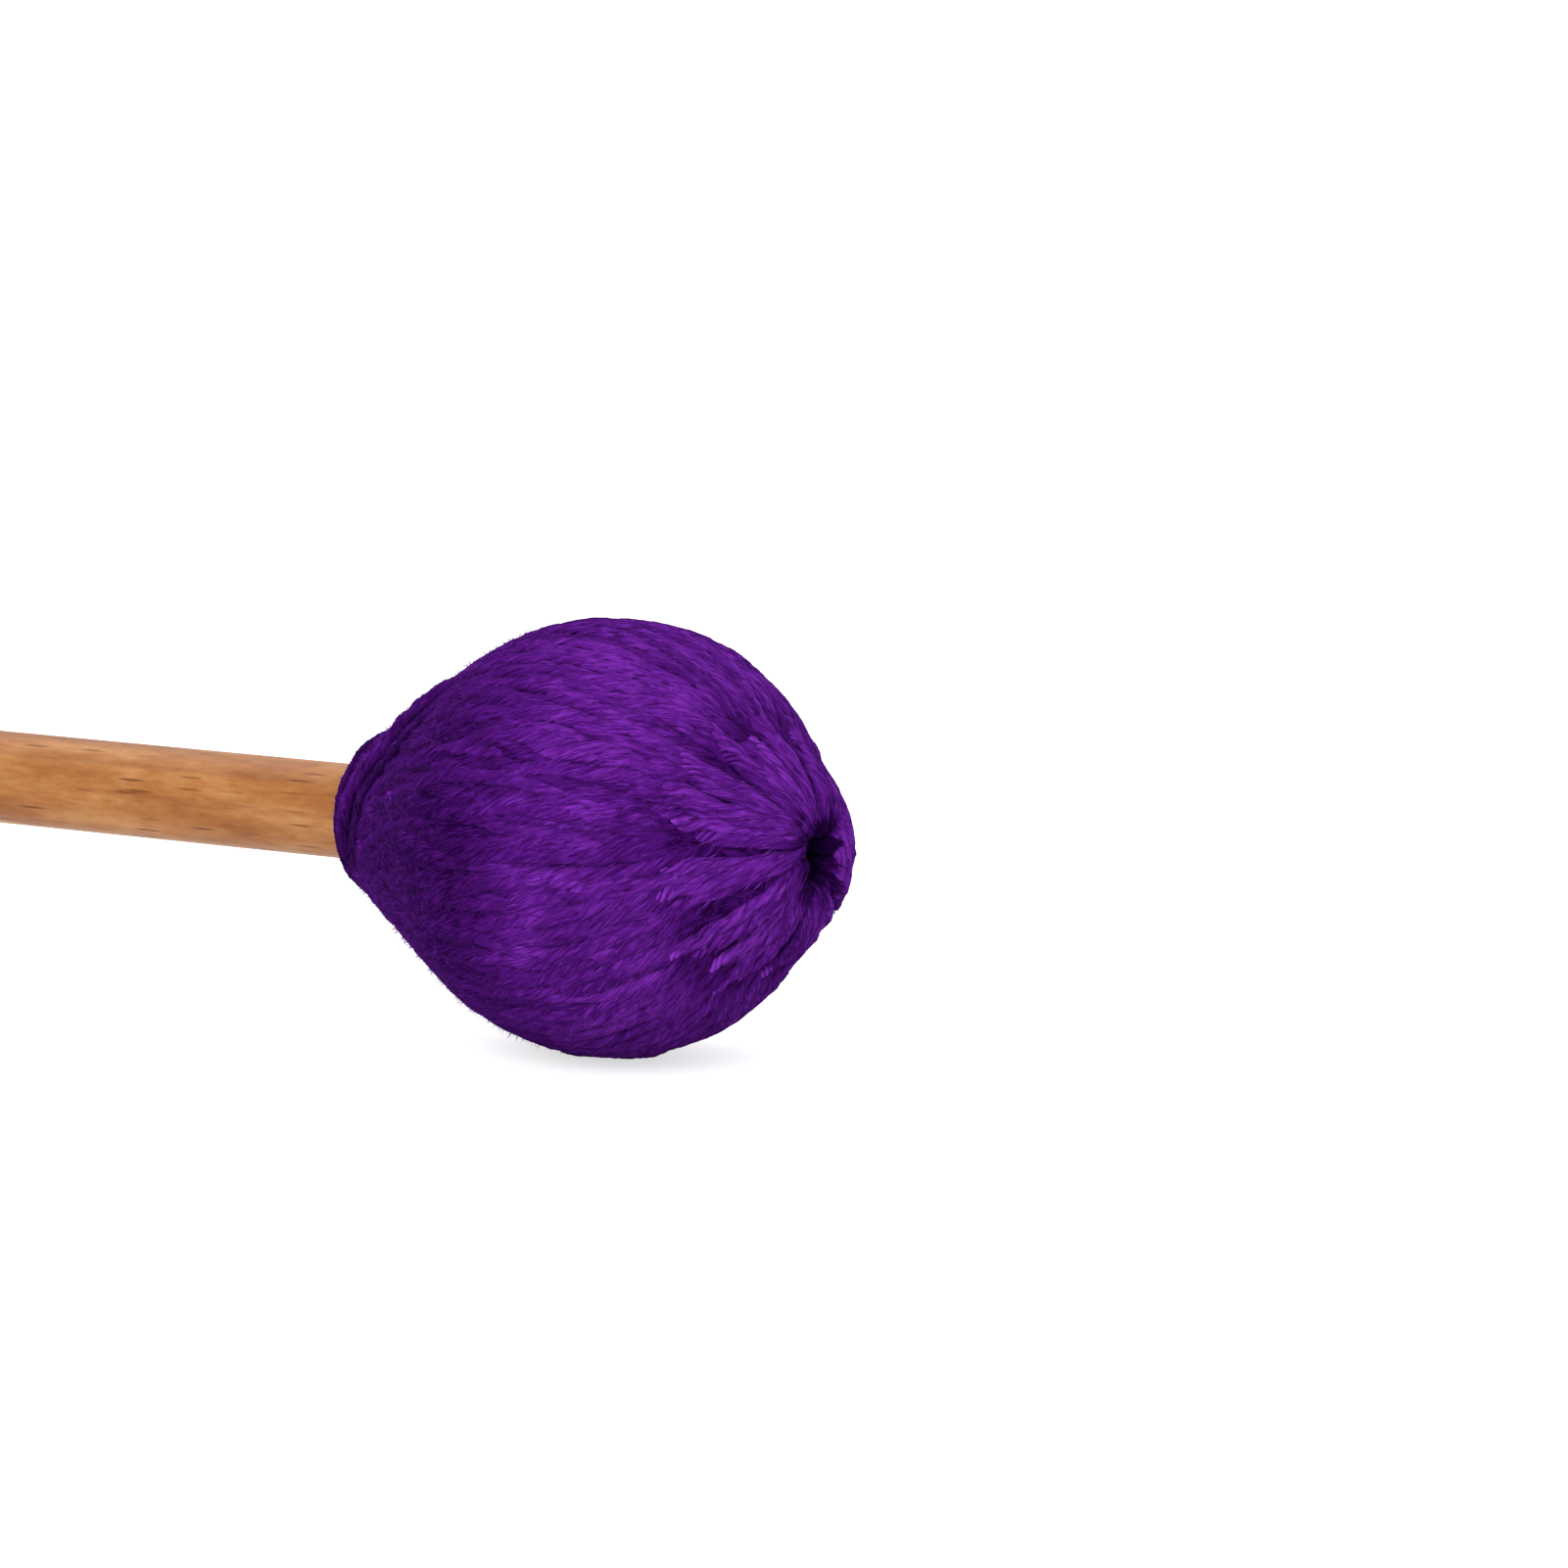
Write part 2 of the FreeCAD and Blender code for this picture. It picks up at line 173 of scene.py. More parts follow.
class Tree:
    """A node tree under construction."""

    def __init__(self, tree):
        self.nodes, self.links = tree.nodes, tree.links

    def fill(self, socket, value):
        """Joins a socket to what another one gives, or sets its constant."""
        if isinstance(value, bpy.types.NodeSocket):
            self.links.new(value, socket)
        else:
            socket.default_value = value

    def add(self, kind, inputs=(), **settings):
        """A new node."""
        node = self.nodes.new(kind)
        for key, value in settings.items():
            setattr(node, key, value)
        for key, value in dict(inputs).items():
            self.fill(node.inputs[key], value)
        return node

    def made(self, kind, inputs=(), **settings):
        """What a new node gives first."""
        return self.add(kind, inputs, **settings).outputs[0]

    def math(self, operation, *values, clamp=False):
        return self.made("ShaderNodeMath", dict(enumerate(values)), operation=operation, use_clamp=clamp)

    def vector(self, operation, *values):
        node = self.add("ShaderNodeVectorMath", dict(enumerate(values)), operation=operation)
        return node.outputs["Value" if operation == "DOT_PRODUCT" else "Vector"]

    def scaled(self, vector, size):
        return self.made("ShaderNodeVectorMath", {"Vector": vector, "Scale": size}, operation="SCALE")

    def joined(self, x, y, z):
        return self.made("ShaderNodeCombineXYZ", {0: x, 1: y, 2: z})

    def stretch(self, vector, scale):
        return self.made("ShaderNodeMapping", {"Vector": vector, "Scale": scale})

    def ramp(self, value, *stops):
        node = self.add("ShaderNodeValToRGB", {"Fac": value})
        elements = node.color_ramp.elements
        while len(elements) < len(stops):
            elements.new(0.5)
        for element, (place, colour) in zip(elements, stops):
            element.position = place
            element.color = (*colour, 1)
        return node.outputs[0]

    def mix(self, share, a, b, blend="MIX"):
        node = self.add("ShaderNodeMix", data_type="RGBA", blend_type=blend)
        for key, value in (("Factor", share), ("A", a), ("B", b)):
            self.fill([s for s in node.inputs if s.name == key and s.enabled][0], value)
        return [s for s in node.outputs if s.enabled][0]

    def noise(self, vector, scale, detail=2.0, roughness=0.5):
        settings = {"Vector": vector, "Scale": scale, "Detail": detail, "Roughness": roughness}
        return self.add("ShaderNodeTexNoise", settings).outputs["Fac"]

    def on_piece(self):
        """In a material, the place on the piece, in metres."""
        return self.add("ShaderNodeTexCoord").outputs["Object"]

    def carried(self, name, kind="Fac"):
        """In a material, a value that the mesh carries."""
        return self.add("ShaderNodeAttribute", attribute_name=name).outputs[kind]

    def named(self, name, kind="FLOAT"):
        """In a shape's tree, a value that the geometry carries."""
        node = self.add("GeometryNodeInputNamedAttribute", {"Name": name}, data_type=kind)
        return node.outputs["Attribute"]

    def store(self, geometry, name, value, kind="FLOAT", domain="POINT"):
        """In a shape's tree, the geometry with one more value that it carries."""
        node = self.add("GeometryNodeStoreNamedAttribute", data_type=kind, domain=domain)
        self.links.new(geometry, node.inputs["Geometry"])
        node.inputs["Name"].default_value = name
        self.links.new(value, [s for s in node.inputs if s.name == "Value"][0])
        return node.outputs[0]

    def chance(self, least, greatest, seed):
        """A random number for each point or instance, from the node's sockets for plain numbers."""
        limits = {2: least, 3: greatest, 8: seed}
        return self.add("FunctionNodeRandomValue", limits, data_type="FLOAT").outputs[1]


def linear(red, green, blue):
    """A colour given as it is seen on screen, from 0 to 255."""
    seen = [value / 255 for value in (red, green, blue)]
    return tuple(s / 12.92 if s <= 0.04045 else ((s + 0.055) / 1.055) ** 2.4 for s in seen)


def new_group(kind, name, inputs, outputs):
    """A group of nodes with named inputs and outputs, each given as its name and its type."""
    group = bpy.data.node_groups.new(name, kind)
    for way, sockets in (("INPUT", inputs), ("OUTPUT", outputs)):
        for key, socket in sockets:
            group.interface.new_socket(key, in_out=way, socket_type="NodeSocket" + socket)
    tree = Tree(group)
    return group, tree, tree.add("NodeGroupInput").outputs, tree.add("NodeGroupOutput").inputs


def finish_shape(tree, geometry, material, end):
    """The end of each shape's tree: real faces, smooth, in their material."""
    geometry = tree.made("GeometryNodeRealizeInstances", {"Geometry": geometry})
    geometry = tree.made("GeometryNodeSetShadeSmooth", {"Geometry": geometry})
    geometry = tree.made("GeometryNodeSetMaterial", {"Geometry": geometry, "Material": material})
    tree.links.new(geometry, end)


def cord_group():
    """Wires become plied cords, flattened on what lies under them. Each point of a wire carries
    its half width, its outward direction, how far the plies have turned there and how deep the
    hollows between them are."""
    group, tree, given, end = new_group(
        "GeometryNodeTree",
        "plied_cord",
        [
            ("Wires", "Geometry"), ("Plies", "Int"), ("Sides of a Ply", "Int"), ("Flatness", "Float"),
            ("Material", "Material"),
        ],
        [("Yarn", "Geometry")],
    )
    # A round cord, which keeps what its path knows
    position = tree.made("GeometryNodeInputPosition")
    parameter = tree.add("GeometryNodeSplineParameter").outputs
    curve = tree.made("GeometryNodeMeshToCurve", {"Mesh": given["Wires"]})
    curve = tree.store(curve, "centre", position, "FLOAT_VECTOR")
    curve = tree.store(curve, "way", tree.made("GeometryNodeInputTangent"), "FLOAT_VECTOR")
    curve = tree.store(curve, "along", parameter["Length"])
    out = tree.named("out", "FLOAT_VECTOR")
    curve = tree.made("GeometryNodeSetCurveNormal", {"Curve": curve, "Normal": out}, mode="FREE")
    curve = tree.made("GeometryNodeSetCurveTilt", {"Curve": curve, "Tilt": tree.named("turn")})
    sides = tree.math("MULTIPLY", given["Plies"], given["Sides of a Ply"])
    profile = tree.made("GeometryNodeCurvePrimitiveCircle", {"Resolution": sides, "Radius": 1.0})
    profile = tree.store(profile, "round", parameter["Factor"])
    yarn = tree.made(
        "GeometryNodeCurveToMesh",
        {"Curve": curve, "Profile Curve": profile, "Scale": tree.named("width"), "Fill Caps": True},
    )

    # The hollows between its plies, and the press that flattens it
    place = tree.named("round")
    wave = tree.math("MULTIPLY", tree.math("MULTIPLY", place, math.pi), given["Plies"])
    wave = tree.math("ABSOLUTE", tree.math("COSINE", wave))
    hollow = tree.math("SUBTRACT", 1.0, tree.math("POWER", wave, 0.6))
    yarn = tree.store(yarn, "hollow", tree.math("MULTIPLY", hollow, tree.named("groove")))
    centre = tree.named("centre", "FLOAT_VECTOR")
    arm = tree.vector("SUBTRACT", position, centre)
    arm = tree.scaled(arm, tree.math("SUBTRACT", 1.0, tree.named("hollow")))
    lost = tree.math("SUBTRACT", 1.0, given["Flatness"])
    press = tree.scaled(out, tree.math("MULTIPLY", tree.vector("DOT_PRODUCT", arm, out), lost))
    pressed = tree.vector("SUBTRACT", tree.vector("ADD", centre, arm), press)
    yarn = tree.made("GeometryNodeSetPosition", {"Geometry": yarn, "Position": pressed})

    # Where each point lies in the yarn, for its material
    turn = tree.math("MULTIPLY", place, 2 * math.pi)
    along = tree.math("MULTIPLY", tree.named("along"), 1000.0)
    lay = tree.joined(along, tree.math("COSINE", turn), tree.math("SINE", turn))
    yarn = tree.store(yarn, "lay", lay, "FLOAT_VECTOR")
    finish_shape(tree, yarn, given["Material"], end["Yarn"])
    return group


def fibre_group():
    """Loose fibres on a piece of yarn, each bowed over it or lifted off it, roughly along it."""
    group, tree, given, end = new_group(
        "GeometryNodeTree",
        "loose_fibres",
        [
            ("Yarn", "Geometry"), ("Fibres in a Square Metre", "Float"), ("Seed", "Int"),
            ("Least Length", "Float"), ("Greatest Length", "Float"), ("Thickness", "Float"),
            ("Bow", "Float"), ("Spread", "Float"), ("Lift", "Float"), ("Slant", "Float"),
            ("Facing", "Float"), ("Material", "Material"),
        ],
        [("Fibres", "Geometry")],
    )
    # Where fibres stand
    out, way = tree.named("out", "FLOAT_VECTOR"), tree.named("way", "FLOAT_VECTOR")
    facing = tree.vector("DOT_PRODUCT", tree.made("GeometryNodeInputNormal"), out)
    density = tree.math("MULTIPLY", given["Fibres in a Square Metre"], tree.named("fur"))
    density = tree.math("MULTIPLY", density, tree.math("GREATER_THAN", facing, given["Facing"]))
    points = tree.made(
        "GeometryNodeDistributePointsOnFaces",
        {"Mesh": given["Yarn"], "Density": density, "Seed": given["Seed"]},
    )

    # One fibre of length 1, bowed and pointed at both ends
    line = tree.made("GeometryNodeCurvePrimitiveLine", {"Start": (-0.5, 0, 0), "End": (0.5, 0, 0)})
    line = tree.made("GeometryNodeResampleCurve", {"Curve": line, "Count": 4})
    factor = tree.add("GeometryNodeSplineParameter").outputs["Factor"]
    across = tree.math("SUBTRACT", tree.math("MULTIPLY", factor, 2.0), 1.0)
    square = tree.math("MULTIPLY", across, across)
    fall = tree.math("MULTIPLY", square, tree.math("MULTIPLY", given["Bow"], -1.0))
    line = tree.made("GeometryNodeSetPosition", {"Geometry": line, "Offset": tree.joined(0.0, 0.0, fall)})
    side_shade = tree.math("MULTIPLY", tree.math("SUBTRACT", 1.0, square), given["Thickness"])
    section = tree.made("GeometryNodeCurvePrimitiveCircle", {"Resolution": 3, "Radius": 0.5})
    fibre = tree.made("GeometryNodeCurveToMesh", {"Curve": line, "Profile Curve": section, "Scale": side_shade})
    fibre = tree.made("GeometryNodeMergeByDistance", {"Geometry": fibre, "Distance": 0.0001})

    # How each one lies, from along the yarn
    lying = tree.made(
        "FunctionNodeAxesToRotation",
        {"Primary Axis": way, "Secondary Axis": out},
        primary_axis="X",
        secondary_axis="Z",
    )
    swing = tree.math("ADD", tree.chance(-0.5, 0.5, 11), tree.chance(-0.5, 0.5, 12))
    swing = tree.math("ADD", swing, tree.chance(-0.5, 0.5, 13))
    swing = tree.math("MULTIPLY_ADD", swing, given["Spread"], given["Slant"])
    lift = tree.math("MULTIPLY", tree.chance(-1.0, 1.0, 14), given["Lift"])
    turned = tree.made("FunctionNodeEulerToRotation", {0: tree.joined(0.0, lift, swing)})
    turned = tree.made(
        "FunctionNodeRotateRotation",
        {"Rotation": lying, "Rotate By": turned},
        rotation_space="LOCAL",
    )
    longer = tree.math("SUBTRACT", given["Greatest Length"], given["Least Length"])
    length = tree.math("MULTIPLY_ADD", tree.chance(0.0, 1.0, 15), longer, given["Least Length"])
    fibres = tree.made(
        "GeometryNodeInstanceOnPoints",
        {"Points": points, "Instance": fibre, "Rotation": turned, "Scale": length},
    )
    fibres = tree.store(fibres, "tone", tree.chance(0.0, 1.0, 16), domain="INSTANCE")
    finish_shape(tree, fibres, given["Material"], end["Fibres"])
    return group


def felt_group():
    """A skin of felted fibres, uneven, so that the strands under it show here and there."""
    group, tree, given, end = new_group(
        "GeometryNodeTree",
        "felted_skin",
        [
            ("Skin", "Geometry"), ("Lumps in a Metre", "Float"), ("Unevenness", "Float"),
            ("Material", "Material"),
        ],
        [("Felt", "Geometry")],
    )
    lumps = tree.add("ShaderNodeTexNoise", {"Scale": given["Lumps in a Metre"], "Detail": 3.0})
    rise = tree.math("SUBTRACT", lumps.outputs["Fac"], 0.5)
    rise = tree.math("MULTIPLY", rise, given["Unevenness"])
    offset = tree.scaled(tree.named("out", "FLOAT_VECTOR"), rise)
    skin = tree.made("GeometryNodeSetPosition", {"Geometry": given["Skin"], "Offset": offset})
    finish_shape(tree, skin, given["Material"], end["Felt"])
    return group


PLIED_CORD = cord_group()
LOOSE_FIBRES = fibre_group()
FELTED_SKIN = felt_group()


# Pieces, from meshes and from the paths of cords

def ride(piece, nodes=()):
    """Each piece moves with the whole mallet, and may stand in for nodes of the CAD."""
    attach(piece, "root")
    if nodes:
        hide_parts(*nodes)
    return piece


def grow(name, base, group, slot, nodes=(), **given):
    """Runs a shape's tree on a mesh and keeps what it makes as a plain piece."""
    holder = new_object(name + "_base", base)
    modifier = holder.modifiers.new("shape", "NODES")
    modifier.node_group = group
    for item in group.interface.items_tree:
        key = item.name.lower().replace(" ", "_")
        if item.in_out == "INPUT" and key in given:
            modifier[item.identifier] = given[key]
    evaluated = holder.evaluated_get(bpy.context.evaluated_depsgraph_get())
    mesh = bpy.data.meshes.new_from_object(evaluated)
    holder.modifiers.clear()
    bpy.data.objects.remove(holder)
    mesh.name = name
    return ride(new_object(name, mesh), nodes)


def make_piece(name, places, faces, material, nodes=()):
    """A mesh piece from millimetres, riding on the mallet."""
    mesh = bpy.data.meshes.new(name)
    mesh.from_pydata(np.asarray(places, float) / 1000, [], np.asarray(faces))
    mesh.polygons.foreach_set("use_smooth", np.ones(len(mesh.polygons), bool))
    mesh.materials.append(material)
    return ride(new_object(name, mesh), nodes)


def carry(mesh, name, values):
    """Stores a number or a direction on each point of a mesh."""
    values = np.asarray(values, np.float32)
    kind, field = ("FLOAT_VECTOR", "vector") if values.ndim == 2 else ("FLOAT", "value")
    mesh.attributes.new(name, kind, "POINT").data.foreach_set(field, values.ravel())


def ring_faces(rings, around):
    """Outward faces between closed rings, each of so many points."""
    index = np.arange(rings * around).reshape(rings, around)
    beside = np.roll(index, -1, 1)
    return np.stack([index[1:], beside[1:], beside[:-1], index[:-1]], -1).reshape(-1, 4)


def lathe(outline, around):
    """Places and faces of a body turned about the handle's axis."""
    outline = np.asarray(outline, float)
    angles = np.arange(around) * 2 * math.pi / around
    places = np.empty((len(outline), around, 3))
    places[..., 0] = outline[:, :1]
    places[..., 1] = outline[:, 1:] * np.cos(angles)
    places[..., 2] = outline[:, 1:] * np.sin(angles)
    return places.reshape(-1, 3), ring_faces(len(outline), around)


class Wires:
    """The paths of one piece's cords, in millimetres, with what the cords need to know."""

    def __init__(self):
        self.rows, self.edges, self.count = {}, [], 0

    def add(self, path, normal, width, pitch=10.0, groove=0.1, shade=0.0, fur=1.0):
        """A cord's path with its outward normals, half width, the length in which its plies go
        round once, the depth of their hollows, its painted light and shade, and how furry it is."""
        n = len(path)
        step = np.linalg.norm(np.diff(path, axis=0), axis=1)
        turns = np.concatenate([[0], np.cumsum(step / np.broadcast_to(pitch, (n,))[1:])])
        values = dict(
            place=path,
            out=normal / np.linalg.norm(normal, axis=1)[:, None],
            width=np.asarray(width) / 1000,
            turn=random.uniform(0, 6.28) - 2 * math.pi * turns,
            groove=groove,
            shade=shade,
            fur=fur,
            tone=random.random(),
        )
        for key, value in values.items():
            shape = (n, 3) if key in ("place", "out") else (n,)
            self.rows.setdefault(key, []).append(np.broadcast_to(value, shape))
        self.edges.append(self.count + np.stack([np.arange(n - 1), np.arange(1, n)], -1))
        self.count += n

    def mesh(self, name):
        """The paths as a mesh of edges, whose points carry the rest."""
        mesh = bpy.data.meshes.new(name)
        values = {key: np.concatenate(rows) for key, rows in self.rows.items()}
        mesh.from_pydata(values.pop("place") / 1000, np.vstack(self.edges), [])
        for key, value in values.items():
            carry(mesh, key, value)
        return mesh

    def piece(self, name, material, slot, *nodes, plies=4, sides=3, flatness=0.7):
        """The cords themselves."""
        return grow(
            name,
            self.mesh(name + "_paths"),
            PLIED_CORD,
            slot,
            nodes,
            plies=plies,
            sides_of_a_ply=sides,
            flatness=flatness,
            material=material,
        )


# Materials

DARK, MIDDLE, LIGHT = linear(28, 1, 50), linear(80, 20, 118), linear(136, 52, 186)
BLACK, WHITE = (0, 0, 0), (1, 1, 1)


def new_material(name):
    """A material, its tree and the inputs of its surface."""
    material = bpy.data.materials.new(name)
    material.use_nodes = True
    tree = Tree(material.node_tree)
    return material, tree, tree.nodes["Principled BSDF"].inputs


def add_bump(tree, shader, height, strength, distance):
    """Relief that is finer than the mesh."""
    bump = tree.made("ShaderNodeBump", {"Height": height, "Strength": strength, "Distance": distance})
    tree.links.new(bump, shader["Normal"])


def dye(tree, shader, tone):
    """The yarn's purples, from those deep in it to those of its lit fibres."""
    tree.links.new(tree.ramp(tone, (0.05, DARK), (0.5, MIDDLE), (0.95, LIGHT)), shader["Base Color"])


def soften(shader, roughness, sheen=0.0, tint=(255, 255, 255)):
    """Yarn has no gloss, only the sheen of its fibres."""
    shader["Roughness"].default_value = roughness
    shader["Specular IOR Level"].default_value = 0.0
    shader["Sheen Weight"].default_value = sheen
    shader["Sheen Roughness"].default_value = 0.5
    shader["Sheen Tint"].default_value = (*linear(*tint), 1)


def yarn_fibre_group():
    """Fine fibres that run along the plies, as a mask from dark to light."""
    group, tree, given, end = new_group(
        "ShaderNodeTree",
        "yarn_fibres",
        [("Lay", "Vector"), ("Tone", "Float")],
        [("Fibres", "Float"), ("Clumps", "Float")],
    )
    shift = tree.joined(tree.math("MULTIPLY", given["Tone"], 91.0), 0.0, 0.0)
    place = tree.vector("ADD", tree.stretch(given["Lay"], (0.5, 1.0, 1.0)), shift)
    fine = tree.noise(tree.stretch(place, (0.8, 3.4, 3.4)), 2.2, 3.0, 0.6)
    clumps = tree.noise(tree.stretch(place, (0.5, 1.3, 1.3)), 1.6, 2.0)
    tree.links.new(fine, end["Fibres"])
    tree.links.new(clumps, end["Clumps"])
    return group


FIBRES = yarn_fibre_group()


def yarn_material():
    """Soft plied purple yarn: fibres along the plies, uneven dye, painted shade in the hollows between the
    plies, and the painted light and shade the cords carry.
    """
    material, tree, shader = new_material("purple_yarn")
    tone = tree.carried("tone")
    lay = tree.carried("lay", "Vector")
    fibres = tree.add("ShaderNodeGroup", {"Lay": lay, "Tone": tone}, node_tree=FIBRES).outputs
    patches = tree.noise(tree.on_piece(), 160.0, 3.0)
    # The hollows between the plies are painted darker, as painted shade, and the carried shade brings each
    # place's painted light and shade
    parts = (
        (fibres["Fibres"], 1.3),
        (fibres["Clumps"], 0.5),
        (tone, 0.2),
        (patches, 0.4),
        (tree.carried("hollow"), -1.6),
    )
    mixed = tree.carried("shade")
    for part, weight in parts:
        mixed = tree.math("MULTIPLY_ADD", part, weight, mixed)
    dye(tree, shader, tree.math("SUBTRACT", mixed, 0.68, clamp=True))
    add_bump(tree, shader, fibres["Fibres"], 0.5, 0.0001)
    soften(shader, 0.6, 0.2, (132, 66, 186))
    return material


def loose_fibre_material():
    """Single fibres, each of its own tone, with the painted light and shade of the yarn they grow on."""
    material, tree, shader = new_material("loose_fibres")
    mixed = tree.math("MULTIPLY_ADD", tree.carried("tone"), 0.62, tree.carried("shade"))
    dye(tree, shader, tree.math("ADD", mixed, 0.17, clamp=True))
    soften(shader, 0.6, 0.1, (150, 90, 190))
    return material


def felt_material():
    """Matted fibres, too fine to be seen one by one, darkened by the painted shade the felt carries."""
    material, tree, shader = new_material("felted_yarn")
    fine = tree.noise(tree.on_piece(), 1300.0, 6.0, 0.62)
    mixed = tree.math("MULTIPLY_ADD", fine, 1.5, tree.carried("shade"))
    dye(tree, shader, tree.math("SUBTRACT", mixed, 0.28, clamp=True))
    add_bump(tree, shader, fine, 0.6, 0.0002)
    soften(shader, 0.8, 0.17, (150, 90, 190))
    return material


def under_material():
    """The pile seen between the outer strands, painted dark as if in their shade."""
    material, tree, shader = new_material("under_yarn")
    strands = tree.noise(tree.stretch(tree.on_piece(), (120.0, 900.0, 900.0)), 1.0, 3.0)
    # Both colours are painted darker than the yarn above, as painted shade under it
    colour = tree.ramp(strands, (0.3, linear(16, 1, 28)), (0.75, linear(44, 8, 70)))
    tree.links.new(colour, shader["Base Color"])
    add_bump(tree, shader, strands, 0.8, 0.0003)
    soften(shader, 0.85)
    return material


def wood_material():
    """Lacquered beech: a fine warm figure, soft growth lines and dark flecks along the grain."""
    material, tree, shader = new_material("beech")
    place = tree.on_piece()
    mottle = tree.noise(tree.stretch(place, (70.0, 320.0, 320.0)), 1.0, 5.0, 0.66)
    figure = tree.noise(tree.stretch(place, (420.0, 1500.0, 1500.0)), 1.0, 3.0, 0.6)
    lines = tree.noise(tree.stretch(place, (8.0, 900.0, 420.0)), 1.0, 3.0, 0.65)
    base = tree.ramp(
        mottle,
        (0.32, linear(148, 88, 42)),
        (0.5, linear(171, 113, 62)),
        (0.68, linear(192, 139, 88)),
    )
    base = tree.mix(0.7, base, tree.ramp(figure, (0.36, (0.86, 0.72, 0.56)), (0.56, WHITE)), "MULTIPLY")
    base = tree.mix(0.4, base, tree.ramp(lines, (0.35, (0.62, 0.55, 0.5)), (0.55, WHITE)), "MULTIPLY")
    cells = tree.add(
        "ShaderNodeTexVoronoi",
        {"Vector": tree.stretch(place, (165.0, 2000.0, 2000.0)), "Scale": 1.0},
    ).outputs
    fleck = tree.ramp(cells["Distance"], (0.15, WHITE), (0.34, BLACK))
    cell_tone = tree.made("ShaderNodeSeparateColor", {0: cells["Color"]})
    chosen = tree.ramp(cell_tone, (0.5, BLACK), (0.66, WHITE))
    flecks = tree.math("MULTIPLY", fleck, chosen)
    base = tree.mix(tree.math("MULTIPLY", flecks, 0.8), base, (*linear(104, 50, 22), 1))
    tree.links.new(base, shader["Base Color"])
    tree.links.new(tree.math("MULTIPLY_ADD", mottle, 0.16, 0.38), shader["Roughness"])
    shader["Specular IOR Level"].default_value = 0.16
    add_bump(tree, shader, tree.math("MULTIPLY_ADD", flecks, -0.6, lines), 0.12, 0.0001)
    return material


def plain_material(name, colour, light, roughness, scale):
    """One colour with soft lighter patches, for what is hidden inside."""
    material, tree, shader = new_material(name)
    noise = tree.noise(tree.on_piece(), scale, 3.0)
    tree.links.new(tree.ramp(noise, (0.3, colour), (0.7, light)), shader["Base Color"])
    add_bump(tree, shader, noise, 0.2, 0.0001)
    shader["Roughness"].default_value = roughness
    return material


YARN = yarn_material()
LOOSE = loose_fibre_material()


# The outer winding: wraps that run neck to crown and back, each passing the hole and the handle

WRAPS_BELOW, WRAPS_ABOVE = 56, 64
WRAP_STEP = 0.25
LONGEST_HALF_WRAP = 110
STRAND_HALF_WIDTH = 0.82


def reach_on_head(run, crown_reach, neck_reach):
    """How far from the axis a wrap would pass if it went on as it lies at this run. Over the
    belly the felt holds it nearly along the head."""
    share = rising(run, 12, 28)
    held = rising(run, 5, 10) * falling(run, FULL_RUN - 5, 12)
    return ((1 - share) * crown_reach + share * neck_reach) * (1 - 0.62 * held ** 2 * (3 - 2 * held))


def half_wraps(crown_reach, neck_reach):
    """Runs from the point nearest the hole to the point nearest the handle, found by following
    the winding over the head. Gives the run and the angle of each, at even steps."""

    def rate(measure):
        """How fast a measure grows along the head."""
        near = 0.05
        return (measure(run + near) - measure(run - near)) / (2 * near)

    count = len(crown_reach)
    run = np.array([run_at(r, True) for r in crown_reach])
    last = np.array([run_at(r, False) for r in neck_reach])
    lean = np.full(count, math.pi / 2)
    angle = np.zeros(count)
    done = np.zeros(count, bool)
    runs, angles = [run], [angle]
    for _ in range(int(LONGEST_HALF_WRAP / WRAP_STEP)):
        radius = radius_at(run)
        drift = rate(lambda there: reach_on_head(there, crown_reach, neck_reach))
        turn = (drift - rate(radius_at) * np.sin(lean)) / radius
        lean = np.clip(lean + turn * WRAP_STEP, 0.0, math.pi / 2)
        run = np.where(done, run, run + np.cos(lean) * WRAP_STEP)
        angle = np.where(done, angle, angle + np.sin(lean) / radius * WRAP_STEP)
        done = done | (run >= last - 0.02) | ((lean >= math.pi / 2 - 1e-6) & (run > BELLY_RUN))
        runs.append(run)
        angles.append(angle)
        if done.all():
            break
    return np.array(runs).T, np.array(angles).T


def waver(position, size, longest, shortest):
    """A smooth random wandering along a cord."""
    result = np.zeros_like(position)
    for wave in np.geomspace(longest, shortest, 4):
        phase = random.random()
        result += size * (wave / longest) ** 0.7 * np.sin(2 * math.pi * (position / wave + phase)) / 2
    return result


def stitched(angle):
    """1 where the crown's stitches are, 0 on the far side of the hole, which they leave out."""
    away = np.abs((angle + math.pi) % (2 * math.pi) - math.pi)
    return rising(away, 0.55, 0.5)


def shade_on_head(run, angle):
    """Painted shade darkens the felted neck's half, most on its side towards the camera and a
    little less near the handle. The yarn lies in painted shade beside the hole, except where no
    stitches hold it: there it turns over the rim in painted light."""
    neck = rising(run, 24, 7) - 0.3 * rising(run, 46, 8)
    # Painted shade weighs most on the side towards the camera, at about 175 degrees round the axis
    side_shade = 0.36 + 0.64 * np.exp(-((angle % (2 * math.pi) - 3.05) / 0.95) ** 2)
    crown = falling(run, 3.2, 2.5) * stitched(angle)
    lit_rim = falling(run, 5.0, 2.5) * (1 - stitched(angle))
    return -0.35 * neck * side_shade - 0.6 * crown + 0.2 * lit_rim


def whole_wrap(run, angle, start, every):
    """A wrap from the handle to the hole and back, made from its half. Gives the length, the run
    and the angle at every so many steps, with a little wandering."""
    moving = np.concatenate([[True], np.diff(run) > 1e-6])
    run, angle = run[moving], angle[moving]
    run = np.concatenate([run[:0:-1], run])[::every]
    angle = (np.concatenate([-angle[:0:-1], angle]) + start)[::every]
    length = np.arange(len(run)) * WRAP_STEP * every
    run = np.clip(run + waver(length, 0.2, 21, 6), 0.5, FULL_RUN - 0.5)
    angle = angle + waver(length, 0.45, 26, 6) / np.maximum(radius_at(run), 6)
    return length, run, angle


